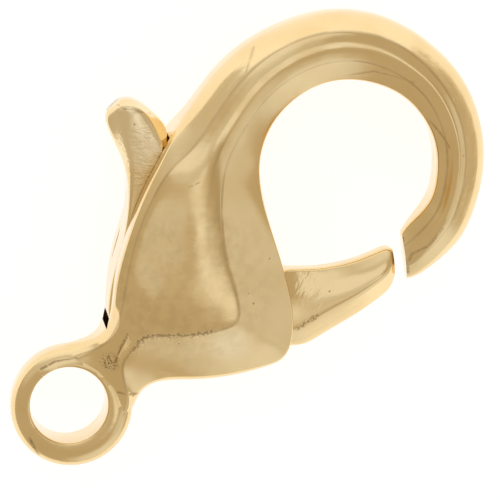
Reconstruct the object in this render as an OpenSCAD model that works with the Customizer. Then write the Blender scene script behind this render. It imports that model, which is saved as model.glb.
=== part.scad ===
// Lobster clasp in cast brass with a pale gold finish.
// It lies flat in the XY plane. The origin is the centre of the eye, +Y runs along the clasp
// to its hook, +X is the side of the gate and +Z points up out of the front face.
// Lengths are millimetres.

/* [Eye] */
// Diameter of the hole through the eye
eye_bore_d = 3.2; // [2.4:0.1:3.6]
// Width of the metal round the eye's hole
eye_rim_w = 0.9; // [0.7:0.01:1.2]
// Thickness of the eye
eye_t = 1.9; // [1.5:0.05:2.2]
// Radius of the rounding on the eye's outer edge
eye_round = 0.58; // [0.2:0.02:0.6]
// How far the eye's rim sits off the centre of its hole, towards the gate's side
eye_shift = 0.22; // [0:0.01:0.25]

/* [Body] */
// Distance from the eye's centre to the centre of the hook's loop
loop_y = 14.95; // [14:0.05:17]
// Width of the body from its spine to its gate corner
body_w = 10; // [9.4:0.1:11]
// Thickness of the body at its bulge
body_t = 4.8; // [4.5:0.05:5.6]
// Radius that softens the ridges of the front and back
ridge_round = 0.5; // [0.2:0.05:1]
// Radius that softens the thin edges along the slot
lip_round = 0.14; // [0.08:0.02:0.2]

/* [Hook] */
// Diameter of the loop inside the hook
loop_d = 7.36; // [6.4:0.02:8]
// Width of the hook where it grows out of the body
hook_w = 3.4; // [3:0.05:3.8]
// Width of the hook at its tip
tip_w = 1.86; // [1.5:0.02:2.2]
// Thickness of the hook where it grows out of the body
hook_t = 4.1; // [3.6:0.05:4.5]
// Thickness of the hook at its tip
tip_t = 2.6; // [2.2:0.05:3]
// Gap between the hook's tip and the closed gate
tip_gap = 0.46; // [0.3:0.02:0.8]

/* [Lever] */
// Thickness of the lever
lever_t = 1.9; // [1.5:0.02:2.1]
// Play of the lever in its slot on each side
lever_play = 0.05; // [0.03:0.01:0.1]
// Radius that softens the lever's ridges
lever_round = 0.2; // [0.1:0.02:0.3]

/* [Pin and spring] */
// Diameter of the pivot pin
pin_d = 1.2; // [0.9:0.05:1.5]
// Radial running clearance of the lever on its pin
pin_play = 0.04; // [0.02:0.01:0.08]
// Thickness of the metal left over the pin's blind end
pin_cover = 0.6; // [0.4:0.05:0.9]
// How deep the pin's other end is sunk below the bulge of the back
pin_sunk = 0.15; // [0.12:0.01:0.3]
// Thickness of the spring strip
spring_t = 0.2; // [0.15:0.01:0.3]
// Radius of the spring's fold, at the middle of the strip
fold_r = 0.19; // [0.17:0.01:0.22]
// Gap left between the spring strip and each wall of the slot
spring_gap = 0.2; // [0.1:0.02:0.4]

/* [Hidden] */
$fn = 64;

// A length that is as good as none
tiny = 0.0001;
// Points along each rounded corner of a section, after its first
corner_n = 3;
// The most of each side that a rounded corner may take
most_of_side = 0.45;
// Sections between two rows of a table, on the body and on the lever
body_steps = 3;
lever_steps = 2;

// Columns of a row. A row is a section across the piece, in a plane that stands upright.
// The two ends of the section, on the spine side and on the loop side
LX = 0;
LY = 1;
RX = 2;
RY = 3;
// Height of the edge on the spine side
EDGE_L = 4;
// Ridge on the spine side: its share across the section and its height
AT_L = 5;
UP_L = 6;
// Height of the crown between the ridges
CROWN = 7;
// Ridge on the loop side: its share across the section and its height
AT_R = 8;
UP_R = 9;
// Height of the edge on the loop side
EDGE_R = 10;
// Rounding of the two edges, in a table as a multiple of lip_round
SOFT_L = 11;
SOFT_R = 12;

eye_r = eye_bore_d / 2 + eye_rim_w;
loop_r = loop_d / 2;
slot_t = lever_t + 2 * lever_play;

// Sections where the neck leaves the eye.
// Places are shares of the eye's outer radius and heights are shares of half its thickness.
eye_table = [
    // lx    ly    rx    ry    edge  at    up    crown at    up    edge soft soft
    [-0.82, 0.42, 0.91, 0.42, 0.36, 0.12, 0.94, 0.96, 0.88, 0.94, 0.36, 3, 3],
    [-0.65, 0.78, 0.78, 0.78, 0.44, 0.12, 0.98, 1.00, 0.88, 0.99, 0.40, 2, 3],
];

// Sections of the body from its neck to the root of the hook.
// x is a share of the body's width, y of the loop's distance, a height of half the thickness.
body_table = [
    // lx      ly     rx      ry     edge  at    up    crown at    up    edge soft soft
    [-0.138, 0.177, 0.160, 0.181, 0.28, 0.12, 0.46, 0.45, 0.48, 0.52, 0.28, 2, 2],
    [-0.158, 0.226, 0.183, 0.239, 0.43, 0.10, 0.64, 0.62, 0.38, 0.74, 0.34, 1, 2],
    [-0.220, 0.273, 0.264, 0.308, 0.53, 0.10, 0.84, 0.85, 0.35, 0.90, 0.44, 1, 3],
    [-0.303, 0.334, 0.342, 0.386, 0.55, 0.07, 0.92, 0.97, 0.53, 0.93, 0.48, 1, 3],
    [-0.380, 0.406, 0.398, 0.468, 0.55, 0.05, 0.93, 1.00, 0.64, 0.94, 0.50, 1, 2],
    [-0.450, 0.482, 0.418, 0.545, 0.55, 0.045, 0.93, 1.00, 0.67, 0.93, 0.53, 1, 1],
    [-0.505, 0.555, 0.300, 0.630, 0.55, 0.05, 0.92, 1.00, 0.52, 0.93, 0.54, 1, 1],
    [-0.550, 0.629, 0.108, 0.697, 0.55, 0.075, 0.90, 0.98, 0.475, 0.92, 0.54, 1, 1],
    [-0.590, 0.696, -0.087, 0.752, 0.52, 0.17, 0.84, 0.93, 0.50, 0.88, 0.52, 2, 1],
];

// Sections of the hook from its root to its tip.
// Width and thickness run from 1, their value at the root, to 0, their value at the tip.
// The last section is less, where the end is bevelled.
// Edges and ridges are shares of the crown's height, and the inner radius of the loop's.
ALONG = 0;
WIDTH = 1;
THICKNESS = 2;
INSIDE = 3;
HOOK_EDGE_L = 4;
HOOK_AT_L = 5;
HOOK_AT_R = 6;
HOOK_UP_R = 7;
HOOK_EDGE_R = 8;
hook_table = [
    // along width thick  inside edge  at    at    up    edge
    [0.00, 0.97, 1.00, 0.995, 0.46, 0.22, 0.54, 0.93, 0.46],
    [0.08, 0.80, 0.86, 1.000, 0.43, 0.24, 0.60, 0.93, 0.43],
    [0.17, 0.66, 0.72, 1.005, 0.42, 0.20, 0.60, 0.92, 0.41],
    [0.28, 0.60, 0.60, 1.010, 0.40, 0.21, 0.61, 0.91, 0.40],
    [0.40, 0.44, 0.48, 1.010, 0.40, 0.25, 0.62, 0.90, 0.40],
    [0.55, 0.25, 0.36, 1.008, 0.40, 0.37, 0.67, 0.86, 0.40],
    [0.70, 0.10, 0.24, 1.000, 0.40, 0.45, 0.76, 0.80, 0.40],
    [0.83, 0.09, 0.12, 0.982, 0.40, 0.48, 0.78, 0.76, 0.42],
    [0.90, 0.10, 0.02, 0.970, 0.40, 0.46, 0.75, 0.78, 0.44],
    [0.97, 0.10, -0.70, 0.950, 0.44, 0.38, 0.70, 0.84, 0.48],
];
// Angles of the hook's root and tip round the loop's centre, outside and inside
root_out = 208;
root_in = 234;
tip_out = -12.1;
tip_in = -1.0;
// Height of the hook's outer ridge as a share of its crown
hook_ridge = 0.93;
// Rounding of the hook's outer and inner edges as multiples of lip_round
hook_soft_out = 4;
hook_soft_in = 2;
// How much smaller the tip's end is than the section before it, which rounds its rim
tip_inset = 0.12;

function mix(a, b, t) = a + (b - a) * t;
function unit(v) = v / max(norm(v), tiny);

// A table's row as lengths, from the sizes that its shares follow
function sized(row, size_x, size_y, size_z) = [
    row[LX] * size_x,
    row[LY] * size_y,
    row[RX] * size_x,
    row[RY] * size_y,
    row[EDGE_L] * size_z,
    row[AT_L],
    row[UP_L] * size_z,
    row[CROWN] * size_z,
    row[AT_R],
    row[UP_R] * size_z,
    row[EDGE_R] * size_z,
    row[SOFT_L] * lip_round,
    row[SOFT_R] * lip_round,
];

// A row of the hook between two points, with the crown's height
function hook_row(outer, inner, crown, row) = [
    outer[0],
    outer[1],
    inner[0],
    inner[1],
    row[HOOK_EDGE_L] * crown,
    row[HOOK_AT_L],
    hook_ridge * crown,
    crown,
    row[HOOK_AT_R],
    row[HOOK_UP_R] * crown,
    row[HOOK_EDGE_R] * crown,
    hook_soft_out * lip_round,
    hook_soft_in * lip_round,
];

// A point at an angle and a distance from the loop's centre
function round_loop(angle, r) = [r * cos(angle), loop_y + r * sin(angle)];

// The hook's row for one row of its table, made smaller by an inset all round
function hook_at(row, along, inset) =
    let (
        r_in = loop_r * row[INSIDE],
        r_out = r_in + mix(tip_w, hook_w, row[WIDTH])
    )
    hook_row(
        round_loop(mix(root_out, tip_out, along), r_out - inset),
        round_loop(mix(root_in, tip_in, along), r_in + inset),
        mix(tip_t, hook_t, row[THICKNESS]) / 2 - inset,
        row
    );

tip_row = hook_at(hook_table[len(hook_table) - 1], 1, tip_inset);
body_rows = concat(
    [for (row = eye_table) sized(row, eye_r, eye_r, eye_t / 2)],
    [for (row = body_table) sized(row, body_w, loop_y, body_t / 2)],
    [for (row = hook_table) hook_at(row, row[ALONG], 0)],
    [tip_row]
);

// Sections of the lever from its thumb tab through the slot to the mouth of the gate.
// The first end lies on the loop side. x is a share of the body's width, y of the loop's
// distance and a height of half the lever's thickness.
lever_table = [
    // x      y      x       y      edge  at    up    crown at    up    edge soft soft
    [-0.820, 0.652, -0.820, 0.602, 0.30, 0.20, 0.50, 0.52, 0.60, 0.50, 0.30, 1, 1],
    [-0.800, 0.671, -0.795, 0.583, 0.36, 0.12, 0.80, 0.86, 0.52, 0.78, 0.30, 1, 1],
    [-0.750, 0.688, -0.740, 0.568, 0.36, 0.08, 0.94, 1.00, 0.74, 0.90, 0.30, 1, 1],
    [-0.680, 0.696, -0.660, 0.554, 0.32, 0.14, 0.92, 1.00, 0.87, 0.93, 0.36, 1, 1],
    [-0.620, 0.695, -0.602, 0.541, 0.34, 0.20, 0.94, 1.00, 0.91, 0.96, 0.60, 1, 1],
    [-0.560, 0.672, -0.533, 0.512, 0.70, 0.10, 0.99, 1.00, 0.93, 0.98, 0.85, 1, 1],
    [-0.490, 0.640, -0.460, 0.468, 0.94, 0.06, 1.00, 1.00, 0.94, 1.00, 0.94, 1, 1],
    [-0.390, 0.610, -0.378, 0.404, 0.94, 0.06, 1.00, 1.00, 0.94, 1.00, 0.94, 1, 1],
    [-0.275, 0.587, -0.300, 0.327, 0.94, 0.06, 1.00, 1.00, 0.94, 1.00, 0.94, 1, 1],
    [-0.175, 0.577, -0.222, 0.268, 0.94, 0.06, 1.00, 1.00, 0.94, 1.00, 0.94, 1, 1],
    [-0.100, 0.577, -0.150, 0.236, 0.94, 0.06, 1.00, 1.00, 0.94, 1.00, 0.94, 1, 1],
    [-0.030, 0.588, -0.068, 0.288, 0.94, 0.06, 1.00, 1.00, 0.94, 1.00, 0.94, 1, 1],
    [0.070, 0.628, 0.100, 0.400, 0.94, 0.06, 1.00, 1.00, 0.94, 1.00, 0.94, 1, 1],
    [0.150, 0.680, 0.292, 0.494, 0.70, 0.14, 0.96, 1.00, 0.84, 1.00, 0.60, 1, 1],
];

// Sections of the gate arm from the slot's mouth to its end at the tip of the hook.
// After the way along it come the two ends of the section, as shares across the arm,
// and then the heights and ridges of the table above.
FIRST = 1;
LAST = 2;
gate_table = [
    // along from  to    edge  at    up    crown at    up    edge
    [0.04, 0.00, 1.00, 0.44, 0.30, 0.84, 0.96, 0.74, 1.00, 0.34],
    [0.30, 0.00, 1.00, 0.40, 0.28, 0.80, 0.95, 0.64, 1.00, 0.28],
    [0.60, 0.00, 1.00, 0.38, 0.26, 0.78, 0.94, 0.58, 1.00, 0.28],
    [0.82, 0.00, 1.00, 0.38, 0.24, 0.76, 0.92, 0.53, 0.98, 0.28],
    [0.94, 0.03, 0.96, 0.38, 0.22, 0.68, 0.82, 0.50, 0.86, 0.28],
    [1.00, 0.14, 0.78, 0.32, 0.20, 0.48, 0.54, 0.50, 0.56, 0.24],
];
// Start of the gate arm's inner and outer edges, as shares of width and distance
gate_root_in = [0.158, 0.690];
gate_root_out = [0.437, 0.562];
// Ends of the two edges as shares across the tip, from its inner to its outer side
gate_end_in = 0.19;
gate_end_out = 1.08;
// How far the inner and the outer edge bow away from a straight line
gate_bow_in = 0.36;
gate_bow_out = 0.2;

// The corner points of the hook's tip, and the way from them to the gate
tip_a = [tip_row[RX], tip_row[RY]];
tip_b = [tip_row[LX], tip_row[LY]];
tip_d = unit(tip_b - tip_a);
to_gate = [tip_d[1], -tip_d[0]];

function on_body(p) = [p[0] * body_w, p[1] * loop_y];
function bowed(from, to, bow, along) =
    let (d = unit(to - from))
    mix(from, to, along) + bow * sin(180 * along) * [d[1], -d[0]];

gate_rows = [for (row = gate_table)
    let (
        end_in = mix(tip_a, tip_b, gate_end_in) + tip_gap * to_gate,
        end_out = mix(tip_a, tip_b, gate_end_out) + tip_gap * to_gate,
        a = bowed(on_body(gate_root_in), end_in, gate_bow_in, row[ALONG]),
        b = bowed(on_body(gate_root_out), end_out, gate_bow_out, row[ALONG]),
        shape = [for (i = [LAST + 1:len(row) - 1]) row[i]]
    )
    sized(concat(mix(a, b, row[FIRST]), mix(a, b, row[LAST]), shape, [1, 1]), 1, 1, lever_t / 2)];
lever_rows = concat(
    [for (row = lever_table) sized(row, body_w, loop_y, lever_t / 2)],
    gate_rows
);

// The pivot of the lever, and the slot that it swings in, as shares of the same two sizes
pivot = on_body([-0.12, 0.4]);
slot_outline = [
    [-0.85, 0.728], [-0.612, 0.700], [-0.53, 0.669], [-0.44, 0.638], [-0.34, 0.620],
    [-0.25, 0.625], [-0.17, 0.665], [-0.11, 0.725], [-0.08, 0.80], [0.6, 0.80],
    [0.6, 0.53], [0.42, 0.52], [0.34, 0.495], [0.28, 0.452], [0.19, 0.368],
    [0.08, 0.294], [-0.03, 0.234], [-0.125, 0.196], [-0.22, 0.182], [-0.85, 0.2],
];

// The spring's strip runs along the slot's wall, round a fold and back along the lever
wall_leg = [[-0.018, 0.256], [0.068, 0.303], [0.176, 0.376]];
fold_centre = [0.19, 0.413];
lever_leg = [[0.112, 0.386], [-0.022, 0.298]];
// Angle at which the fold points up the slot, and the steps of its half turn
fold_angle = 57;
fold_n = 6;

// A smooth curve through four rows, between the second and the third
function smooth(a, b, c, d, t) =
    0.5 * (2 * b + (c - a) * t + (2 * a - 5 * b + 4 * c - d) * t * t
        + (3 * b - a - 3 * c + d) * t * t * t);
function rows_along(rows, steps) =
    let (last = len(rows) - 1)
    concat(
        [for (i = [0:last - 1])
            for (k = [0:steps - 1])
                smooth(rows[max(i - 1, 0)], rows[i], rows[i + 1], rows[min(i + 2, last)], k / steps)],
        [rows[last]]
    );

// The corner q between p and s, rounded by at most the radius given
function rounded(p, q, s, radius) =
    let (
        a = q + unit(p - q) * min(radius, most_of_side * norm(p - q)),
        b = q + unit(s - q) * min(radius, most_of_side * norm(s - q))
    )
    [for (k = [0:corner_n])
        let (t = k / corner_n)
        (1 - t) * (1 - t) * a + 2 * t * (1 - t) * q + t * t * b];

// The closed section of a row, as points in space. The back half mirrors the front.
function section(row, ridge) =
    let (
        a = [row[LX], row[LY]],
        w = norm([row[RX], row[RY]] - a),
        d = ([row[RX], row[RY]] - a) / w,
        front = [
            [0, row[EDGE_L]],
            [row[AT_L] * w, row[UP_L]],
            [(row[AT_L] + row[AT_R]) / 2 * w, row[CROWN]],
            [row[AT_R] * w, row[UP_R]],
            [w, row[EDGE_R]],
        ],
        corners = concat(front, [for (i = [4:-1:0]) [front[i][0], -front[i][1]]]),
        radii = [row[SOFT_L], ridge, w, ridge, row[SOFT_R]],
        n = len(corners)
    )
    [for (i = [0:n - 1])
        for (p = rounded(corners[(i + n - 1) % n], corners[i], corners[(i + 1) % n],
                radii[i < 5 ? i : 9 - i]))
            [a[0] + d[0] * p[0], a[1] + d[1] * p[0], p[1]]];

// A solid through sections that all have the same number of points
module loft(sections) {
    m = len(sections[0]);
    last = len(sections) - 1;
    points = [for (s = sections) for (p = s) p];
    sides = [for (i = [0:last - 1])
        for (j = [0:m - 1])
            let (k = (j + 1) % m)
            each [
                [i * m + j, (i + 1) * m + j, i * m + k],
                [i * m + k, (i + 1) * m + j, (i + 1) * m + k],
            ]];
    ends = [
        [for (j = [0:m - 1]) j],
        [for (j = [m - 1:-1:0]) last * m + j],
    ];
    polyhedron(points, concat(sides, ends));
}

// The rim of the eye, which still has no hole
module eye_rim() {
    inside = eye_bore_d / 4;
    translate([eye_shift, 0, 0])
        rotate_extrude() {
            translate([inside, -eye_t / 2])
                square([eye_r - eye_round - inside, eye_t]);
            translate([inside, eye_round - eye_t / 2])
                square([eye_r - inside, eye_t - 2 * eye_round]);
            for (side = [-1, 1])
                translate([eye_r - eye_round, side * (eye_t / 2 - eye_round)])
                    circle(eye_round);
        }
}

module slot() {
    translate([0, 0, -slot_t / 2])
        linear_extrude(slot_t)
            polygon([for (p = slot_outline) on_body(p)]);
}

// A round bar on the pivot's axis between two heights
module on_pivot(r, low, high) {
    translate([pivot[0], pivot[1], low])
        cylinder(r = r, h = high - low);
}

// The casting: hook, hollow body, neck and eye in one piece
module body() {
    color("#d9bd83")
        difference() {
            union() {
                loft([for (row = rows_along(body_rows, body_steps)) section(row, ridge_round)]);
                eye_rim();
            }
            translate([0, 0, -eye_t])
                cylinder(d = eye_bore_d, h = 2 * eye_t);
            slot();
            on_pivot(pin_d / 2, -body_t, body_t / 2 - pin_cover);
        }
}

// The lever: thumb tab, hub and gate arm in one piece
module lever() {
    color("#cdb27a")
        difference() {
            loft([for (row = rows_along(lever_rows, lever_steps)) section(row, lever_round)]);
            on_pivot(pin_d / 2 + pin_play, -lever_t, lever_t);
        }
}

// The pivot pin, driven in from the back
module pin() {
    color("#b89a5e")
        on_pivot(pin_d / 2, pin_sunk - body_t / 2, body_t / 2 - pin_cover);
}

// The folded strip that pushes the lever shut
module spring() {
    path = concat(
        [for (p = wall_leg) on_body(p)],
        [for (k = [0:fold_n])
            let (a = fold_angle - 90 + 180 * k / fold_n)
            on_body(fold_centre) + fold_r * [cos(a), sin(a)]],
        [for (p = lever_leg) on_body(p)]
    );
    n = len(path);
    sides = [for (i = [0:n - 1])
        unit(path[min(i + 1, n - 1)] - path[max(i - 1, 0)]) * spring_t / 2];
    wide = slot_t - 2 * spring_gap;
    color("silver")
        translate([0, 0, -wide / 2])
            linear_extrude(wide)
                polygon(concat(
                    [for (i = [0:n - 1]) path[i] + [-sides[i][1], sides[i][0]]],
                    [for (i = [n - 1:-1:0]) path[i] + [sides[i][1], -sides[i][0]]]
                ));
}

body();
lever();
pin();
spring();
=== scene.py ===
import math

import bpy
import numpy as np
from mathutils import Matrix, Vector
from mathutils.kdtree import KDTree


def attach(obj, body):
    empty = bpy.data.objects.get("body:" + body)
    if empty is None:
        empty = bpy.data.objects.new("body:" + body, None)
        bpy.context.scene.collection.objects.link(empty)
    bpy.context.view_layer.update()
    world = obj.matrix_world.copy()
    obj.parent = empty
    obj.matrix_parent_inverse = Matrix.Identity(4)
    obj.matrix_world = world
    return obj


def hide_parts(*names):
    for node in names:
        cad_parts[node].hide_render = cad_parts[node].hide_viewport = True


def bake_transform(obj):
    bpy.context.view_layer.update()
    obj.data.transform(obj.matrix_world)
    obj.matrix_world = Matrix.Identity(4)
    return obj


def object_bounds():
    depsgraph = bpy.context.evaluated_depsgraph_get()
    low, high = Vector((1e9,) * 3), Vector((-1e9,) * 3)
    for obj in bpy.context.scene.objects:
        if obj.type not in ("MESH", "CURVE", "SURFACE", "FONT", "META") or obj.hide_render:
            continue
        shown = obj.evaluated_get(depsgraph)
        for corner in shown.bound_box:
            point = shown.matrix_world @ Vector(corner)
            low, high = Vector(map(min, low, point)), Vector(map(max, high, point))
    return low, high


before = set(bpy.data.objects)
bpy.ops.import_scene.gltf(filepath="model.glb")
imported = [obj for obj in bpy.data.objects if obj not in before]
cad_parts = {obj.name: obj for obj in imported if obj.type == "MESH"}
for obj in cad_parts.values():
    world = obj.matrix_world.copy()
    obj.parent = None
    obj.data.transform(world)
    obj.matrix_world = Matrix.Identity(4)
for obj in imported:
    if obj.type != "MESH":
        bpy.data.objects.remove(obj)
cad_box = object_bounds()

# A millimetre in the scene's metres
MM = 0.001

# Sizes of the clasp, in millimetres, and the fold's angle in degrees. The origin is the centre of
# the eye, +Y runs to the hook, +X is the side of the gate and +Z points up out of the front face.

# The eye. Its rim is rounded to an oval, and its ring sits a little to the side of its hole.
EYE_BORE_D = 3.2
EYE_RIM_W = 0.9
EYE_T = 1.9
EYE_ROUND = 0.62
EYE_ROUND_W = 0.8
EYE_SHIFT = 0.22
BORE_ROUND = 0.1

# The body, with its ridges rolled towards the front face and creased towards the flanks
LOOP_Y = 14.95
BODY_W = 10.0
BODY_T = 4.8
RIDGE_ROLL = 0.6
RIDGE_CREASE = 0.1
LIP_ROUND = 0.14

# The hook, and the gap between its tip and the gate
LOOP_D = 7.36
HOOK_W = 3.4
TIP_W = 1.86
HOOK_T = 4.1
TIP_T = 2.6
TIP_GAP = 0.46

# The lever, with its play to each side of the slot
LEVER_T = 1.9
LEVER_PLAY = 0.05
LEVER_ROUND = 0.2

# The pin, with the lever's play round it and the metal that covers its end in front
PIN_D = 1.2
PIN_PLAY = 0.04
PIN_COVER = 0.6

# The spring, with the gap from its strip's edges to the slot and the fold's middle radius
SPRING_T = 0.2
SPRING_GAP = 0.2
SPRING_EDGE = 0.03
FOLD_R = 0.19
FOLD_ANGLE = 57.0

EYE_R = EYE_BORE_D / 2 + EYE_RIM_W
LOOP_R = LOOP_D / 2
SLOT_T = LEVER_T + 2 * LEVER_PLAY
PIVOT = np.array([-0.12 * BODY_W, 0.4 * LOOP_Y])

# Resolution of the meshes
ROW_STEPS = 12
CORNER_STEPS = 8
SIDE_STEPS = 3
TURN_STEPS = 128
RIDGE_STEPS = 8
LEG_STEPS = 8
FOLD_STEPS = 32

# A corner's rounding takes up no more than this share of a side. Bends are eased by means over
# so many sections to each side, so many times. Edges past this angle, in degrees, are sharp.
MOST_OF_SIDE = 0.45
EASING_REACH = ROW_STEPS // 3
EASING_PASSES = 3
SHARP_ANGLE = 38

# Columns of a row, which is one section across a piece, with its left and right end, the heights
# of its corners and their places. In the tables, a place is a share of the section's width and a
# softness a multiple of LIP_ROUND.
LX, LY, RX, RY, EDGE_L, AT_L, UP_L, CROWN, AT_R, UP_R, EDGE_R, SOFT_L, SOFT_R = range(13)

# Sections where the neck leaves the eye, as shares of the eye's radius and half thickness
EYE_TABLE = [
    # lx    ly    rx    ry    edge  at    up    crown at    up    edge soft soft
    [-0.82, 0.42, 0.91, 0.42, 0.36, 0.12, 0.94, 0.96, 0.88, 0.94, 0.36, 3, 3],
    [-0.65, 0.78, 0.78, 0.78, 0.44, 0.12, 0.98, 1.00, 0.88, 0.99, 0.40, 2, 3],
]

# Sections of the body, as shares of its width, the loop's distance and half its thickness
BODY_TABLE = [
    # lx      ly     rx      ry     edge  at    up    crown at    up    edge soft soft
    [-0.138, 0.177, 0.160, 0.181, 0.28, 0.12, 0.46, 0.45, 0.48, 0.52, 0.28, 2, 2],
    [-0.158, 0.226, 0.183, 0.239, 0.43, 0.10, 0.64, 0.62, 0.38, 0.74, 0.34, 1, 2],
    [-0.220, 0.273, 0.264, 0.308, 0.72, 0.10, 0.84, 0.85, 0.35, 0.90, 0.44, 1, 3],
    [-0.303, 0.334, 0.342, 0.386, 0.81, 0.08, 0.92, 0.97, 0.53, 0.93, 0.48, 1, 3],
    [-0.380, 0.406, 0.398, 0.468, 0.84, 0.055, 0.93, 1.00, 0.64, 0.94, 0.50, 1, 2],
    [-0.450, 0.482, 0.418, 0.545, 0.81, 0.045, 0.93, 1.00, 0.67, 0.93, 0.53, 1, 1],
    [-0.505, 0.555, 0.300, 0.630, 0.77, 0.05, 0.92, 1.00, 0.52, 0.93, 0.54, 1, 1],
    [-0.550, 0.629, 0.108, 0.697, 0.71, 0.075, 0.90, 0.98, 0.475, 0.92, 0.54, 1, 1],
    [-0.590, 0.696, -0.087, 0.752, 0.57, 0.17, 0.84, 0.93, 0.50, 0.88, 0.52, 2, 1],
]

# Sections of the hook. Width and thickness run from 1 at its root to 0 at its tip, and the last
# section is drawn in to below the tip's thickness.
HOOK_TABLE = [
    # along width thick  inside edge  at    at    up    edge
    [0.00, 0.97, 1.00, 0.995, 0.46, 0.22, 0.54, 0.93, 0.50],
    [0.08, 0.80, 0.86, 1.000, 0.43, 0.24, 0.60, 0.93, 0.52],
    [0.17, 0.66, 0.72, 1.005, 0.42, 0.20, 0.60, 0.92, 0.53],
    [0.28, 0.60, 0.60, 1.010, 0.40, 0.21, 0.61, 0.91, 0.53],
    [0.40, 0.44, 0.48, 1.010, 0.40, 0.25, 0.62, 0.90, 0.55],
    [0.55, 0.25, 0.36, 1.008, 0.40, 0.37, 0.67, 0.86, 0.56],
    [0.70, 0.10, 0.24, 1.000, 0.40, 0.45, 0.76, 0.80, 0.56],
    [0.83, 0.09, 0.12, 0.982, 0.40, 0.48, 0.78, 0.76, 0.54],
    [0.90, 0.10, 0.02, 0.970, 0.40, 0.46, 0.75, 0.78, 0.50],
    [0.97, 0.10, -0.70, 0.950, 0.44, 0.38, 0.70, 0.84, 0.48],
]
# Angles about the loop's centre at which the hook's outer and inner edges start and end
ROOT_OUT, ROOT_IN, TIP_OUT, TIP_IN = 208.0, 234.0, -12.1, -1.0
# The ridge's share of the crown's height, and the lips' softness as multiples of LIP_ROUND
HOOK_RIDGE = 0.93
HOOK_SOFT_OUT, HOOK_SOFT_IN = 4, 1
TIP_INSET = 0.12

# Sections of the lever, as shares of the body's width, the loop's distance and half its thickness.
# Round the hub, in the slot, they are plain boxes.
HUB = [0.94, 0.06, 1.00, 1.00, 0.94, 1.00, 0.94, 1, 1]
LEVER_TABLE = [
    # x      y      x       y      edge  at    up    crown at    up    edge soft soft
    [-0.820, 0.652, -0.820, 0.602, 0.30, 0.20, 0.50, 0.52, 0.60, 0.50, 0.30, 1, 1],
    [-0.800, 0.671, -0.795, 0.583, 0.36, 0.12, 0.80, 0.86, 0.50, 0.80, 0.38, 1, 1],
    [-0.750, 0.688, -0.740, 0.568, 0.36, 0.08, 0.94, 1.00, 0.67, 0.92, 0.42, 1, 1],
    [-0.680, 0.696, -0.660, 0.554, 0.32, 0.14, 0.92, 1.00, 0.82, 0.94, 0.50, 1, 1],
    [-0.620, 0.695, -0.602, 0.541, 0.34, 0.20, 0.94, 1.00, 0.88, 0.96, 0.66, 1, 1],
    [-0.560, 0.672, -0.533, 0.512, 0.70, 0.10, 0.99, 1.00, 0.93, 0.98, 0.85, 1, 1],
    [-0.490, 0.640, -0.460, 0.468, *HUB],
    [-0.390, 0.610, -0.378, 0.404, *HUB],
    [-0.275, 0.587, -0.300, 0.327, *HUB],
    [-0.175, 0.577, -0.222, 0.268, *HUB],
    [-0.100, 0.577, -0.150, 0.236, *HUB],
    [-0.030, 0.588, -0.068, 0.288, *HUB],
    [0.070, 0.628, 0.100, 0.400, *HUB],
    [0.150, 0.680, 0.292, 0.494, 0.70, 0.14, 0.96, 1.00, 0.84, 1.00, 0.60, 1, 1],
]

# Sections of the gate arm, with the way along it first and the part of its width they span
GATE_TABLE = [
    # along from  to    edge  at    up    crown at    up    edge
    [0.04, 0.00, 1.00, 0.44, 0.30, 0.84, 0.96, 0.74, 1.00, 0.34],
    [0.30, 0.00, 1.00, 0.40, 0.28, 0.80, 0.95, 0.64, 1.00, 0.28],
    [0.60, 0.00, 1.00, 0.38, 0.26, 0.78, 0.94, 0.58, 1.00, 0.28],
    [0.82, 0.00, 1.00, 0.38, 0.24, 0.76, 0.92, 0.53, 0.98, 0.28],
    [0.94, 0.03, 0.96, 0.38, 0.22, 0.68, 0.82, 0.50, 0.86, 0.28],
    [1.00, 0.14, 0.78, 0.32, 0.20, 0.48, 0.54, 0.50, 0.56, 0.24],
]
# The gate's root, as shares like the body's, its end along the hook's tip, and how far it bows out
GATE_ROOT_IN = [0.158, 0.690]
GATE_ROOT_OUT = [0.437, 0.562]
GATE_END_IN, GATE_END_OUT = 0.19, 1.08
GATE_BOW_IN, GATE_BOW_OUT = 0.36, 0.2

# The slot seen from the front, as shares of the body's width and the loop's distance
SLOT_OUTLINE = [
    [-0.85, 0.728], [-0.612, 0.697], [-0.53, 0.6645], [-0.44, 0.632], [-0.34, 0.615],
    [-0.25, 0.625], [-0.17, 0.665], [-0.11, 0.725], [-0.08, 0.80], [0.6, 0.80],
    [0.6, 0.53], [0.42, 0.52], [0.34, 0.495], [0.28, 0.452], [0.19, 0.368],
    [0.08, 0.294], [-0.03, 0.234], [-0.125, 0.216], [-0.22, 0.216], [-0.85, 0.235],
]

# The spring's strip runs along the slot's wall, round a fold and back along the lever
WALL_LEG = [[-0.018, 0.256], [0.068, 0.303], [0.176, 0.376]]
FOLD_CENTRE = [0.19, 0.413]
LEVER_LEG = [[0.112, 0.386], [-0.022, 0.298]]
# Distances in millimetres from the wall leg's end, square to the lever's leg. The strip stays on
# the wall up to the first, moves with the lever from the second and bends in between.
BEND_FROM, BEND_TO = 0.18, 0.45


def mix(a, b, t):
    return a + (b - a) * t


def unit(v):
    return v / max(np.linalg.norm(v), 1e-9)


def on_body(p):
    """A point given as shares of the body's width and the loop's distance."""
    return np.array([p[0] * BODY_W, p[1] * LOOP_Y])


def sized(row, size_x, size_y, size_z):
    """A table's row as lengths."""
    scale = np.array([size_x, size_y, size_x, size_y, size_z, 1, size_z, size_z, 1,
                      size_z, size_z, LIP_ROUND, LIP_ROUND])
    return np.array(row, float) * scale


def round_loop(angle, r):
    """A point at an angle and a radius about the loop's centre."""
    a = math.radians(angle)
    return np.array([r * math.cos(a), LOOP_Y + r * math.sin(a)])


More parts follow.
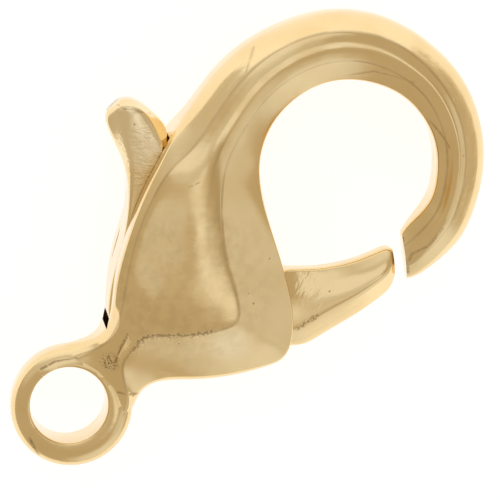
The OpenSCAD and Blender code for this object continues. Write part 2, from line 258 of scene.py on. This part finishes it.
def hook_at(row, along, inset):
    """The hook's section for one row of its table, made smaller by an inset all round."""
    _, width, thick, inside, edge_l, at_l, at_r, up_r, edge_r = row
    r_in = LOOP_R * inside
    r_out = r_in + mix(TIP_W, HOOK_W, width)
    outer = round_loop(mix(ROOT_OUT, TIP_OUT, along), r_out - inset)
    inner = round_loop(mix(ROOT_IN, TIP_IN, along), r_in + inset)
    crown = mix(TIP_T, HOOK_T, thick) / 2 - inset
    return np.array([*outer, *inner, edge_l * crown, at_l, HOOK_RIDGE * crown, crown, at_r,
                     up_r * crown, edge_r * crown, HOOK_SOFT_OUT * LIP_ROUND,
                     HOOK_SOFT_IN * LIP_ROUND])


def bowed(start, end, bow, along):
    """A point along the way from start to end, which bows out to the right."""
    d = unit(end - start)
    return mix(start, end, along) + bow * math.sin(math.pi * along) * np.array([d[1], -d[0]])


def hook_rows():
    """The hook's sections. The last one closes its tip."""
    return [hook_at(row, row[0], 0) for row in HOOK_TABLE] + [hook_at(HOOK_TABLE[-1], 1, TIP_INSET)]


def gate_rows():
    """The gate arm's sections, which end a gap away from the hook's tip."""
    tip = hook_rows()[-1]
    tip_a, tip_b = tip[[RX, RY]], tip[[LX, LY]]
    d = unit(tip_b - tip_a)
    to_gate = np.array([d[1], -d[0]])
    end_in = mix(tip_a, tip_b, GATE_END_IN) + TIP_GAP * to_gate
    end_out = mix(tip_a, tip_b, GATE_END_OUT) + TIP_GAP * to_gate
    rows = []
    for along, first, last, *shape in GATE_TABLE:
        a = bowed(on_body(GATE_ROOT_IN), end_in, GATE_BOW_IN, along)
        b = bowed(on_body(GATE_ROOT_OUT), end_out, GATE_BOW_OUT, along)
        rows.append(sized([*mix(a, b, first), *mix(a, b, last), *shape, 1, 1], 1, 1, LEVER_T / 2))
    return rows


def running_mean(rows):
    """The rows, each averaged with its neighbours several times over. The end rows stay."""
    pad = ((EASING_REACH, EASING_REACH), (0, 0))
    for _ in range(EASING_PASSES):
        wide = np.pad(rows, pad, mode="reflect", reflect_type="odd")
        rows = np.mean([wide[k:k + len(rows)] for k in range(2 * EASING_REACH + 1)], axis=0)
    return rows


def rows_along(rows):
    """A smooth curve through the rows. Its bends are eased so that reflections flow, and what
    the easing takes off is put back once, so that the form doesn't shrink."""
    rows = np.array(rows)
    last = len(rows) - 1
    fine = []
    for i in range(last):
        a, b = rows[max(i - 1, 0)], rows[i]
        c, d = rows[i + 1], rows[min(i + 2, last)]
        for k in range(ROW_STEPS):
            t = k / ROW_STEPS
            fine.append(0.5 * (2 * b + (c - a) * t + (2 * a - 5 * b + 4 * c - d) * t * t
                               + (3 * b - a - 3 * c + d) * t * t * t))
    fine = np.array(fine + [rows[last]])
    eased = running_mean(fine)
    return eased + running_mean(fine - eased)


def section(row, roll, crease):
    """The closed section of a row, as points in space. A ridge rolls over on the crown's side
    and ends more sharply on the flank's."""
    a = row[[LX, LY]]
    across = row[[RX, RY]] - a
    w = np.linalg.norm(across)
    d = across / w
    front = np.array([[0, row[EDGE_L]], [row[AT_L] * w, row[UP_L]],
                      [(row[AT_L] + row[AT_R]) / 2 * w, row[CROWN]],
                      [row[AT_R] * w, row[UP_R]], [w, row[EDGE_R]]])
    corners = np.vstack([front, front[::-1] * [1, -1]])
    # How far each corner's rounding reaches back along the side before it and on past the corner
    before = [row[SOFT_L], crease, w, roll, row[SOFT_R], row[SOFT_R], crease, w, roll, row[SOFT_L]]
    after = before[::-1]
    rounds = []
    for i, q in enumerate(corners):
        p, s = corners[i - 1], corners[(i + 1) % len(corners)]
        start = q + unit(p - q) * min(before[i], MOST_OF_SIDE * np.linalg.norm(p - q))
        end = q + unit(s - q) * min(after[i], MOST_OF_SIDE * np.linalg.norm(s - q))
        t = np.linspace(0, 1, CORNER_STEPS + 1)[:, None]
        rounds.append((1 - t) ** 2 * start + 2 * t * (1 - t) * q + t * t * end)
    flat = []
    for i, corner in enumerate(rounds):
        following = rounds[(i + 1) % len(rounds)][0]
        flat.extend(corner)
        flat.extend(mix(corner[-1], following, k / SIDE_STEPS) for k in range(1, SIDE_STEPS))
    flat = np.array(flat)
    return np.column_stack([a[0] + d[0] * flat[:, 0], a[1] + d[1] * flat[:, 0], flat[:, 1]])


def new_object(name, points, faces):
    """An object in the scene, from points in millimetres."""
    mesh = bpy.data.meshes.new(name)
    mesh.from_pydata((np.array(points) * MM).tolist(), [], faces)
    mesh.validate()
    obj = bpy.data.objects.new(name, mesh)
    bpy.context.scene.collection.objects.link(obj)
    return obj


def loft(name, sections):
    """A closed mesh through sections that all have the same number of points."""
    m, last = len(sections[0]), len(sections) - 1
    faces = [[i * m + j, (i + 1) * m + j, (i + 1) * m + (j + 1) % m, i * m + (j + 1) % m]
             for i in range(last) for j in range(m)]
    faces.append(list(range(m)))
    faces.append([last * m + j for j in range(m - 1, -1, -1)])
    return new_object(name, np.vstack(sections), faces)


def lathe(name, profile, centre):
    """A closed mesh turned from a profile of (radius, height) that starts and ends on the axis."""
    rings = profile[1:-1]
    turn = [2 * math.pi * k / TURN_STEPS for k in range(TURN_STEPS)]
    points = [[centre[0] + r * math.cos(a), centre[1] + r * math.sin(a), z]
              for r, z in rings for a in turn]
    points += [[centre[0], centre[1], profile[0][1]], [centre[0], centre[1], profile[-1][1]]]
    low, high = len(points) - 2, len(points) - 1
    n, last = TURN_STEPS, len(rings) - 1
    faces = [[i * n + j, i * n + (j + 1) % n, (i + 1) * n + (j + 1) % n, (i + 1) * n + j]
             for i in range(last) for j in range(n)]
    faces += [[low, (j + 1) % n, j] for j in range(n)]
    faces += [[high, last * n + j, last * n + (j + 1) % n] for j in range(n)]
    return new_object(name, points, faces)


def arc(centre, r, start, end, steps):
    """Points on an arc in a plane, with angles in degrees. An oval arc has two radii."""
    across, up = np.broadcast_to(r, 2)
    angles = np.radians(np.linspace(start, end, steps + 1))
    return [[centre[0] + across * math.cos(a), centre[1] + up * math.sin(a)] for a in angles]


def rod(name, r, low, high):
    """A round rod about the pivot, from one height to another."""
    return lathe(name, [[0, low], [r, low], [r, high], [0, high]], PIVOT)


def prism(name, outline, low, high):
    """A closed mesh from one height to another, with an outline that runs clockwise."""
    n = len(outline)
    points = [[*p, low] for p in outline] + [[*p, high] for p in outline]
    faces = [list(range(n)), list(range(2 * n - 1, n - 1, -1))]
    faces += [[n + i, n + (i + 1) % n, (i + 1) % n, i] for i in range(n)]
    return new_object(name, points, faces)


def combine(piece, tool, operation):
    """Joins another mesh to the piece, or cuts it out."""
    modifier = piece.modifiers.new(operation, "BOOLEAN")
    modifier.object = tool
    modifier.operation = operation
    modifier.solver = "EXACT"
    depsgraph = bpy.context.evaluated_depsgraph_get()
    made = bpy.data.meshes.new_from_object(piece.evaluated_get(depsgraph))
    piece.modifiers.clear()
    piece.data = made
    bpy.data.objects.remove(tool)


def finish_piece(piece, node, material):
    """Shades a piece smooth but for its real edges, gives it its finish and hides the CAD part of
    its node.
    """
    for polygon in piece.data.polygons:
        polygon.use_smooth = True
    piece.data.set_sharp_from_angle(angle=math.radians(SHARP_ANGLE))
    piece.data.materials.clear()
    piece.data.materials.append(material)
    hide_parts(node)


def eye_rim():
    """The profile of the ring round the eye, rounded to ovals at its outer edges."""
    r, high = EYE_R - EYE_ROUND_W, EYE_T / 2 - EYE_ROUND
    oval = [EYE_ROUND_W, EYE_ROUND]
    return [[0, -EYE_T / 2], *arc([r, -high], oval, -90, 0, CORNER_STEPS),
            *arc([r, high], oval, 0, 90, CORNER_STEPS), [0, EYE_T / 2]]


def eye_hole():
    """The profile of the eye's hole, which flares at both ends with a small round."""
    r, high = EYE_BORE_D / 2 + BORE_ROUND, EYE_T / 2 - BORE_ROUND
    return [[0, -EYE_T], [r, -EYE_T], *arc([r, -high], BORE_ROUND, 270, 180, CORNER_STEPS),
            *arc([r, high], BORE_ROUND, 180, 90, CORNER_STEPS), [r, EYE_T], [0, EYE_T]]


def mark_ridges(piece, sections):
    """Keeps each point's distance from the nearest ridge's sharp edge, in millimetres."""
    sections = np.array(sections)
    step = CORNER_STEPS + SIDE_STEPS
    # The ridges are corners 1 and 3 in front and 6 and 8 behind, with their sharp end to a flank
    sharp_ends = {1: 1, 3: CORNER_STEPS - 1, 6: 1, 8: CORNER_STEPS - 1}
    edges = [corner * step + point for corner, point in sharp_ends.items()]
    lines = np.concatenate([mix(sections[:-1, edges], sections[1:, edges], k / RIDGE_STEPS)
                            for k in range(RIDGE_STEPS)]).reshape(-1, 3)
    tree = KDTree(len(lines))
    for i, p in enumerate(lines):
        tree.insert(p, i)
    tree.balance()
    attribute = piece.data.attributes.new("from_ridge", "FLOAT", "POINT")
    attribute.data.foreach_set("value", [tree.find(v.co / MM)[2] for v in piece.data.vertices])


def make_body():
    """The casting from the eye to the hook's tip, with the slot and the pin's hole cut out."""
    rows = [sized(row, EYE_R, EYE_R, EYE_T / 2) for row in EYE_TABLE]
    rows += [sized(row, BODY_W, LOOP_Y, BODY_T / 2) for row in BODY_TABLE]
    rows = rows_along(rows + hook_rows())
    sections = [section(r, RIDGE_ROLL, RIDGE_CREASE) for r in rows]
    piece = loft("clasp_body", sections)
    combine(piece, lathe("rim", eye_rim(), [EYE_SHIFT, 0]), "UNION")
    combine(piece, lathe("hole", eye_hole(), [0, 0]), "DIFFERENCE")
    outline = [on_body(p) for p in SLOT_OUTLINE]
    combine(piece, prism("slot", outline, -SLOT_T / 2, SLOT_T / 2), "DIFFERENCE")
    combine(piece, rod("pin_hole", PIN_D / 2, -BODY_T, BODY_T / 2 - PIN_COVER), "DIFFERENCE")
    mark_ridges(piece, sections)
    return piece


def make_lever():
    """The casting from the thumb tab over the hub to the gate's end, with the pin's bore."""
    rows = [sized(row, BODY_W, LOOP_Y, LEVER_T / 2) for row in LEVER_TABLE]
    rows = rows_along(rows + gate_rows())
    piece = loft("clasp_lever", [section(r, LEVER_ROUND, LEVER_ROUND) for r in rows])
    combine(piece, rod("bore", PIN_D / 2 + PIN_PLAY, -LEVER_T, LEVER_T), "DIFFERENCE")
    return piece


def spring_path():
    """Points along the strip's middle, from the slot's wall round the fold to the lever."""
    wall = [on_body(p) for p in WALL_LEG]
    back = [on_body(p) for p in LEVER_LEG]
    turn = [FOLD_ANGLE - 90, FOLD_ANGLE + 90]
    fold = [np.array(p) for p in arc(on_body(FOLD_CENTRE), FOLD_R, *turn, FOLD_STEPS)]
    path = []
    for leg, steps in ((wall + fold[:1], LEG_STEPS), (fold, 1), (fold[-1:] + back, LEG_STEPS)):
        for a, b in zip(leg, leg[1:]):
            path.extend(mix(a, b, k / steps) for k in range(steps))
    return path + back[-1:]


def make_spring():
    """The strip, and the points between which it bends as the lever turns."""
    half, high = SPRING_T / 2, SLOT_T / 2 - SPRING_GAP
    inner, low = half - SPRING_EDGE, high - SPRING_EDGE
    # This section runs the other way round than a row's, since no boolean turns its faces out
    shape = [[half, low], [inner, high], [-inner, high], [-half, low],
             [-half, -low], [-inner, -high], [inner, -high], [half, -low]]
    path = spring_path()
    sections = []
    for i, p in enumerate(path):
        way = unit(path[min(i + 1, len(path) - 1)] - path[max(i - 1, 0)])
        sections.append([[*(p + across * np.array([way[1], -way[0]])), z] for across, z in shape])
    way = unit(on_body(LEVER_LEG[0]) - on_body(LEVER_LEG[-1]))
    rise = np.array([-way[1], way[0]])
    ends = [on_body(WALL_LEG[-1]) + rise * height for height in (BEND_FROM, BEND_TO)]
    return loft("clasp_spring", sections), [Vector((*p, 0)) * MM for p in ends]


# Places of a colour mix's sockets
MIX_SHARE, MIX_A, MIX_B, MIX_RESULT = 0, 6, 7, 2
# The range that a noise mostly stays in
NOISE_LOW, NOISE_HIGH = 0.3, 0.7


class Graph:
    """Adds shader nodes to a tree and links them."""

    def __init__(self, tree):
        self.tree = tree

    def fill(self, node, inputs):
        """Gives a node's inputs their values, or links them where the value is an output."""
        for key, value in inputs.items():
            if isinstance(value, bpy.types.NodeSocket):
                self.tree.links.new(value, node.inputs[key])
            else:
                node.inputs[key].default_value = value
        return node

    def add(self, kind, inputs, **settings):
        node = self.tree.nodes.new(kind)
        for name, value in settings.items():
            setattr(node, name, value)
        return self.fill(node, inputs)

    def math(self, operation, a, b):
        return self.add("ShaderNodeMath", {0: a, 1: b}, operation=operation).outputs[0]

    def ramp(self, value, from_low, from_high, to_low=0.0, to_high=1.0):
        """A soft step from one value to another, which goes no further at its ends."""
        inputs = {"Value": value, "From Min": from_low, "From Max": from_high,
                  "To Min": to_low, "To Max": to_high}
        node = self.add("ShaderNodeMapRange", inputs, interpolation_type="SMOOTHSTEP", clamp=True)
        return node.outputs["Result"]

    def spread(self, noise, low, high):
        """A noise's usual range, as one from a low to a high value."""
        return self.ramp(noise, NOISE_LOW, NOISE_HIGH, low, high)

    def noise(self, place, scale, detail=3):
        """Noise on a place in millimetres, with about so many features to each."""
        inputs = {"Vector": place, "Scale": scale, "Detail": detail}
        return self.add("ShaderNodeTexNoise", inputs).outputs["Fac"]

    def vector(self, operation, a, b):
        return self.add("ShaderNodeVectorMath", {0: a, 1: b}, operation=operation)

    def place(self, turn=0.0, stretch=(1, 1, 1)):
        """The point on the piece in millimetres, along axes turned about Z by degrees."""
        point = self.add("ShaderNodeTexCoord", {}).outputs["Object"]
        inputs = {"Vector": point, "Rotation": (0, 0, math.radians(turn)),
                  "Scale": [MM / k for k in stretch]}
        return self.add("ShaderNodeMapping", inputs, vector_type="TEXTURE").outputs["Vector"]

    def near(self, place, spot, inner, outer):
        """One close to a spot and nought away from it, with lengths in millimetres."""
        away = self.vector("DISTANCE", place, spot).outputs["Value"]
        return self.ramp(away, inner, outer, 1.0, 0.0)

    def stroke(self, place, start, end, width, depth=1.0):
        """The depth along a straight scratch, nought away from it, with lengths in millimetres."""
        start, way = Vector(start), Vector(end) - Vector(start)
        back = self.vector("SUBTRACT", place, start).outputs["Vector"]
        along = self.vector("DOT_PRODUCT", back, way / way.length_squared).outputs["Value"]
        along = self.add("ShaderNodeClamp", {"Value": along}).outputs["Result"]
        scaled = self.add("ShaderNodeVectorMath", {0: way, "Scale": along}, operation="SCALE")
        away = self.vector("DISTANCE", back, scaled.outputs["Vector"]).outputs["Value"]
        return self.ramp(away, 0.0, width, depth, 0.0)

    def times(self, a, b):
        return self.math("MULTIPLY", a, b)

    def any_of(self, masks):
        total = masks[0]
        for mask in masks[1:]:
            total = self.math("MAXIMUM", total, mask)
        return total

    def blend(self, share, a, b):
        """A colour that goes from one colour to another by a share."""
        inputs = {MIX_SHARE: share, MIX_A: a, MIX_B: b}
        return self.add("ShaderNodeMix", inputs, data_type="RGBA").outputs[MIX_RESULT]

    def bump(self, height, depth, below=None):
        """Relief of a depth in millimetres, on top of other relief."""
        inputs = {"Height": height, "Distance": depth * MM, "Strength": 1.0}
        if below:
            inputs["Normal"] = below
        return self.add("ShaderNodeBump", inputs).outputs["Normal"]


PALE_GOLD = (0.91, 0.70, 0.37, 1)
DEEP_GOLD = (0.86, 0.63, 0.30, 1)
# A paler gold for painted highlights
PAINTED_HIGHLIGHT_GOLD = (0.98, 0.80, 0.50, 1)
# A dark brown for tarnish, and for the painted shade lines on ridges and edges
TARNISH_AND_SHADE = (0.24, 0.15, 0.06, 1)
STEEL = (0.60, 0.60, 0.60, 1)
STAINED_STEEL = (0.46, 0.44, 0.40, 1)
COATED_METAL = {"Metallic": 1, "Coat Weight": 0.6, "Coat Roughness": 0.08}
# How far marks and painted shade lines at their darkest turn the metal to tarnish and shade, and
# the fine grain's depth
DARKENING_SHARE = 0.8
GRAIN_DEPTH = 0.0006


def new_material(name, look):
    """A material, with its graph and its shader. The look is values for the shader's inputs."""
    material = bpy.data.materials.new(name)
    material.use_nodes = True
    graph = Graph(material.node_tree)
    return material, graph, graph.fill(material.node_tree.nodes["Principled BSDF"], look)


# Marks of casting and wear, with painted highlights and painted shade lines, in millimetres:
# scratches and grooves from one end to the other, small pits, and patches that fade out between two
# distances from a point
SCRATCHES = [
    # start                end                    width depth
    [(-0.92, 3.85, 1.80), (-0.55, 3.15, 1.40), 0.12, 0.9],
    [(-0.55, 3.15, 1.40), (-0.20, 2.60, 1.12), 0.09, 1.0],
    [(-1.93, 0.10, 0.87), (-1.80, 0.75, 0.87), 0.10, 1.0],
    [(-1.80, 0.75, 0.87), (-1.34, 1.50, 0.90), 0.08, 1.0],
    [(0.00, -2.12, 0.88), (0.80, -2.30, 0.72), 0.11, 0.9],
    [(0.90, 1.86, 0.95), (1.30, 2.16, 0.86), 0.10, 0.8],
    [(1.30, 2.16, 0.86), (1.52, 2.40, 0.60), 0.10, 0.8],
    [(-5.99, 14.33, 1.67), (-6.30, 14.80, 1.38), 0.10, 0.4],
    [(-6.30, 14.80, 1.38), (-6.47, 15.21, 0.96), 0.14, 0.4],
    [(-3.30, 17.09, 0.93), (-2.60, 18.31, 1.25), 0.10, 0.5],
    [(-2.60, 18.31, 1.25), (-1.19, 19.23, 1.42), 0.08, 0.5],
    [(0.46, 18.78, 0.90), (1.31, 18.74, 1.10), 0.10, 0.6],
    [(1.31, 18.74, 1.10), (1.88, 18.62, 1.24), 0.08, 0.6],
    [(-4.06, 9.60, 2.29), (-4.02, 9.76, 2.29), 0.03, 0.6],
    [(-3.98, 9.88, 2.28), (-3.94, 10.06, 2.28), 0.03, 0.6],
    [(3.77, 14.80, 0.39), (4.62, 14.27, 0.57), 0.09, 0.8],
    [(4.62, 14.27, 0.57), (4.99, 14.04, 0.44), 0.12, 0.8],
    [(4.66, 14.29, 0.61), (4.46, 14.66, 0.70), 0.12, 0.5],
    [(4.46, 14.66, 0.70), (4.56, 15.39, 0.98), 0.10, 0.5],
    [(4.56, 15.39, 0.98), (4.29, 16.32, 1.29), 0.12, 0.35],
]
BODY_PITS = [
    # place               size
    [(1.44, 8.50, 1.93), 0.07],
    [(0.54, 10.16, 1.51), 0.05],
    [(0.97, 8.61, 1.99), 0.04],
    [(0.47, 20.06, 1.30), 0.06],
    [(2.49, 18.88, 1.39), 0.06],
    [(0.69, 5.13, 2.01), 0.05],
]
# Where the body is rough from the mould, dark with crumbs, lightened by a painted highlight and
# mottled
ROUGH_RIDGE = [(0.2, 5.1, 2.2), 1.5, 2.2]
ROUGH_NECK = [(-0.34, 2.45, 1.05), 0.2, 0.5]
ROUGH_HIP = [(2.3, 6.3, 1.8), 0.5, 1.3]
CRUMBLY_NECK = [(-0.34, 2.45, 1.05), 0.2, 0.55]
PAINTED_HIP_HIGHLIGHT = [(2.2, 6.7, 1.8), 0.3, 1.3]
MOTTLED_TOP = [(-0.8, 7.0, 2.4), 2.6, 4.2]

LEVER_PITS = [[(3.40, 11.11, 0.82), 0.05], [(-7.21, 9.53, 0.94), 0.05]]
# Painted shade: the dark line along the edge of the facets at the tab's end, and the broken dark
# line along the gate's edge by the hip
FACET_EDGE = [(-8.20, 9.52, 0.50), (-7.92, 9.62, 0.83), (-7.69, 9.90, 0.88), (-7.39, 10.06, 0.88),
              (-7.04, 10.29, 0.53)]
FACET_EDGE_W = 0.06
PAINTED_SHADE_GATE_EDGE = [(3.72, 9.13, 0.95), (3.82, 10.01, 0.93), 0.2]
# Where the lever is rough as it was cast, lightened by a painted highlight, and scratched
AS_CAST_TAB = [(-6.1, 8.8, 0.95), 0.6, 1.7]
PAINTED_TAB_HIGHLIGHT = [(-6.9, 9.2, 0.95), 0.9, 1.7]
SCRATCHED_ROOT = [(2.6, 10.6, 0.7), 0.3, 1.3]


def body_metal():
    """Cast and tumbled pale gold: soft waves, fine grain, painted shade lines on the ridges, a
    painted highlight on the hip, scratches, pits.
    """
    material, graph, shader = new_material("pale_gold_body", COATED_METAL)
    place = graph.place()
    clouds = graph.noise(place, 0.55)
    waves = graph.noise(graph.place(turn=30, stretch=(1, 0.5, 1)), 0.7, detail=1.5)
    ripples = graph.noise(graph.place(turn=50, stretch=(0.35, 1, 1)), 2.2)
    grain = graph.noise(place, 22)
    specks = graph.noise(place, 9)

    # The ridge below the bulge, the neck and the hip are rough from the mould
    rough = graph.any_of([graph.near(place, *ROUGH_RIDGE), graph.near(place, *ROUGH_NECK),
                          graph.times(graph.near(place, *ROUGH_HIP), 0.7)])

    # The painted shade lines on the ridges come and go, and wander where the metal is rough
    ridge = graph.add("ShaderNodeAttribute", {}, attribute_name="from_ridge").outputs["Fac"]
    wander = graph.times(graph.spread(specks, -0.1, 0.05), rough)
    shade_line = graph.ramp(graph.math("ADD", ridge, wander), 0.0, 0.09, 1.0, 0.0)
    shade_line_strength = graph.math("MAXIMUM", graph.ramp(clouds, 0.42, 0.62, 0.3, 0.65), rough)
    shade_line = graph.times(shade_line, shade_line_strength)

    marks = [graph.stroke(place, *scratch) for scratch in SCRATCHES]
    marks += [graph.near(place, spot, 0.0, size) for spot, size in BODY_PITS]
    marks = graph.times(graph.any_of(marks), graph.ramp(specks, 0.3, 0.55, 0.3, 1.0))
    crumbs = graph.ramp(graph.noise(place, 15), 0.48, 0.6)
    neck = graph.times(crumbs, graph.near(place, *CRUMBLY_NECK))
    # The painted shade lines on the ridges darken the metal together with the real scratches, pits
    # and crumbs
    dark = graph.any_of([graph.times(shade_line, 0.7), marks, neck])

    colour = graph.blend(graph.spread(clouds, 0.0, 0.7), PALE_GOLD, DEEP_GOLD)
    # A painted highlight lightens the hip
    painted_hip_highlight = graph.times(graph.near(place, *PAINTED_HIP_HIGHLIGHT), 0.55)
    colour = graph.blend(painted_hip_highlight, colour, PAINTED_HIGHLIGHT_GOLD)
    mottled = graph.times(graph.ramp(graph.noise(place, 2.4), 0.4, 0.65, 0.0, 0.1),
                          graph.near(place, *MOTTLED_TOP))
    colour = graph.blend(mottled, colour, TARNISH_AND_SHADE)
    colour = graph.blend(graph.times(dark, DARKENING_SHARE), colour, TARNISH_AND_SHADE)
    roughness = graph.math("ADD", graph.spread(clouds, 0.12, 0.2), graph.times(dark, 0.2))

    normal = graph.bump(waves, 0.032)
    normal = graph.bump(ripples, 0.006, normal)
    normal = graph.bump(grain, GRAIN_DEPTH, normal)
    rough = graph.times(rough, graph.ramp(ridge, 0.1, 0.7, 1.0, 0.0))
    normal = graph.bump(graph.times(specks, rough), 0.012, normal)
    normal = graph.bump(graph.math("SUBTRACT", 1.0, dark), 0.012, normal)
    graph.fill(shader, {"Base Color": colour, "Roughness": roughness, "Normal": normal})
    return material


def lever_metal():
    """The lever's metal, left as cast on the thumb tab and scratched at the gate's root, with a
    painted highlight on the tab and painted shade lines along its edges.
    """
    material, graph, shader = new_material("pale_gold_lever", COATED_METAL)
    place = graph.place()
    clouds = graph.noise(place, 0.7)
    grain = graph.noise(place, 22)
    wrinkles = graph.noise(graph.place(turn=50, stretch=(0.4, 1, 1)), 7)
    strokes = graph.noise(graph.place(turn=112, stretch=(0.2, 1, 1)), 6, detail=2)
    as_cast = graph.near(place, *AS_CAST_TAB)

    crumbs = graph.ramp(graph.noise(place, 10), 0.46, 0.58)
    # Painted shade along the gate's edge by the hip, broken up by noise
    edge = graph.times(graph.stroke(place, *PAINTED_SHADE_GATE_EDGE), crumbs)
    pits = [graph.near(place, spot, 0.0, size) for spot, size in LEVER_PITS]
    # Painted shade along the edge of the facets at the tab's end
    facets = graph.any_of([graph.stroke(place, start, end, FACET_EDGE_W)
                           for start, end in zip(FACET_EDGE, FACET_EDGE[1:])])
    dark = graph.any_of([graph.times(edge, 0.7), *pits, graph.times(facets, 0.55)])

    colour = graph.blend(graph.spread(clouds, 0.0, 0.6), PALE_GOLD, DEEP_GOLD)
    # A painted highlight lightens the tab
    colour = graph.blend(graph.near(place, *PAINTED_TAB_HIGHLIGHT), colour, PAINTED_HIGHLIGHT_GOLD)
    colour = graph.blend(graph.times(dark, DARKENING_SHARE), colour, TARNISH_AND_SHADE)
    roughness = graph.math("ADD", graph.spread(clouds, 0.14, 0.22), graph.times(as_cast, 0.08))

    normal = graph.bump(grain, GRAIN_DEPTH)
    normal = graph.bump(graph.times(wrinkles, as_cast), 0.035, normal)
    normal = graph.bump(graph.times(strokes, graph.near(place, *SCRATCHED_ROOT)), 0.024, normal)
    normal = graph.bump(graph.math("SUBTRACT", 1.0, dark), 0.01, normal)
    graph.fill(shader, {"Base Color": colour, "Roughness": roughness, "Normal": normal})
    return material


def pin_metal():
    """Drawn brass wire with its end filed flush."""
    material, graph, shader = new_material("drawn_brass", COATED_METAL)
    drawn = graph.noise(graph.place(stretch=(1, 1, 0.03)), 18)
    filed = graph.noise(graph.place(turn=30, stretch=(1, 0.06, 1)), 12)
    colour = graph.blend(graph.spread(filed, 0.0, 0.6), DEEP_GOLD, TARNISH_AND_SHADE)
    roughness = graph.spread(filed, 0.25, 0.42)
    normal = graph.bump(filed, 0.003, graph.bump(drawn, 0.003))
    graph.fill(shader, {"Base Color": colour, "Roughness": roughness, "Normal": normal})
    return material


def spring_metal():
    """Rolled steel strip with fine lines along it."""
    material, graph, shader = new_material("rolled_steel", COATED_METAL)
    lines = graph.noise(graph.place(stretch=(0.1, 0.1, 1)), 22)
    stains = graph.noise(graph.place(), 1.5)
    colour = graph.blend(stains, STEEL, STAINED_STEEL)
    roughness = graph.spread(lines, 0.24, 0.4)
    normal = graph.bump(lines, 0.002)
    graph.fill(shader, {"Base Color": colour, "Roughness": roughness, "Normal": normal})
    return material


body_piece = make_body()
finish_piece(body_piece, "body", body_metal())
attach(body_piece, "shell")
lever_piece = make_lever()
finish_piece(lever_piece, "lever", lever_metal())
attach(lever_piece, "lever")
spring_piece, bend = make_spring()
finish_piece(spring_piece, "spring", spring_metal())
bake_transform(spring_piece)
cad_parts["pin"].data.materials.clear()
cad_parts["pin"].data.materials.append(pin_metal())

# Camera at the photograph's angle, given by the point of the object at the picture's centre, the
# directions towards the camera and of the picture's up, the camera's distance, the width that the
# picture spans at the object, and the sensor's width. Lengths are in millimetres.
TARGET = Vector((0.11, 9.706, 0))
TOWARDS_CAMERA = Vector((-0.2382, 0.0524, 0.9698)).normalized()
PICTURE_UP = Vector((-0.7355, 0.6423, -0.2154)).normalized()
CAMERA_DISTANCE = 200.0
PICTURE_W = 20.46
SENSOR_W = 36.0
CLIP_NEAR, CLIP_FAR = 10.0, 10000.0

right = PICTURE_UP.cross(TOWARDS_CAMERA).normalized()
up = TOWARDS_CAMERA.cross(right)


def add_camera():
    data = bpy.data.cameras.new("camera")
    data.sensor_width = SENSOR_W
    data.lens = SENSOR_W * CAMERA_DISTANCE / PICTURE_W
    data.clip_start, data.clip_end = CLIP_NEAR * MM, CLIP_FAR * MM
    camera = bpy.data.objects.new("camera", data)
    bpy.context.scene.collection.objects.link(camera)
    turn = Matrix((right, up, TOWARDS_CAMERA)).transposed().to_4x4()
    place = (TARGET + TOWARDS_CAMERA * CAMERA_DISTANCE) * MM
    camera.matrix_world = Matrix.Translation(place) @ turn
    bpy.context.scene.camera = camera


add_camera()

# Plain pale floor under the lowest point
FLOOR_HALF = 1000.0
FLOOR_LOOK = {"Base Color": (0.5, 0.5, 0.5, 1), "Roughness": 0.9,
              "Emission Color": (1, 1, 1, 1), "Emission Strength": 0.77}

floor_z = cad_box[0].z / MM
corners = [[x * FLOOR_HALF, y * FLOOR_HALF, floor_z]
           for x, y in ((-1, -1), (1, -1), (1, 1), (-1, 1))]
floor = new_object("floor", corners, [[0, 1, 2, 3]])
floor.data.materials.append(new_material("floor", FLOOR_LOOK)[0])

# Light tent: an even glow with soft panes of light and shade. A pane's direction is given as
# shares to the picture's right, up and towards the camera, and its edges as angles. Where the
# glow is low, it is also warmer.
TENT_GLOW = 0.55
LOW_GLOW, HIGH_GLOW = 0.5, 0.8
TENT_PANES = [
    # right   up   near  inner outer strength
    [0.27, -0.25, 0.93, 3, 9, 0.36],
    [0.39, -0.41, 0.83, 3, 9, 0.4],
    [0.05, -0.36, 0.93, 2, 8, 0.14],
    [0.10, -0.06, 0.99, 3, 11, 0.16],
    [0.0, 0.32, 0.95, 12, 22, 0.34],
    [0.62, -0.26, 0.74, 2, 9, -0.12],
    [0.60, -0.56, 0.57, 3, 10, 0.16],
    [0.88, -0.30, 0.35, 15, 24, 0.16],
    [0.50, -0.86, 0.05, 8, 34, 0.3],
    [-0.60, 0.55, 0.60, 10, 35, 0.12],
    [0.00, 0.99, 0.10, 14, 52, 0.5],
]
DIM_LIGHT = (1.0, 0.86, 0.64, 1)
FULL_LIGHT = (1.0, 1.0, 1.0, 1)


def light_tent():
    """The world's light. Its panes stay where they are when the camera moves."""
    world = bpy.data.worlds.new("light_tent")
    world.use_nodes = True
    graph = Graph(world.node_tree)
    sight = graph.add("ShaderNodeTexCoord", {}).outputs["Generated"]
    glow = TENT_GLOW
    for to_right, to_up, to_near, inner, outer, strength in TENT_PANES:
        centre = (right * to_right + up * to_up + TOWARDS_CAMERA * to_near).normalized()
        facing = graph.vector("DOT_PRODUCT", sight, centre).outputs["Value"]
        edges = [math.cos(math.radians(outer)), math.cos(math.radians(inner))]
        glow = graph.math("ADD", glow, graph.ramp(facing, *edges, 0.0, strength))
    tint = graph.blend(graph.ramp(glow, LOW_GLOW, HIGH_GLOW), DIM_LIGHT, FULL_LIGHT)
    graph.fill(world.node_tree.nodes["Background"], {"Color": tint, "Strength": glow})
    return world


bpy.context.scene.world = light_tent()
bpy.context.scene.view_settings.view_transform = "Standard"
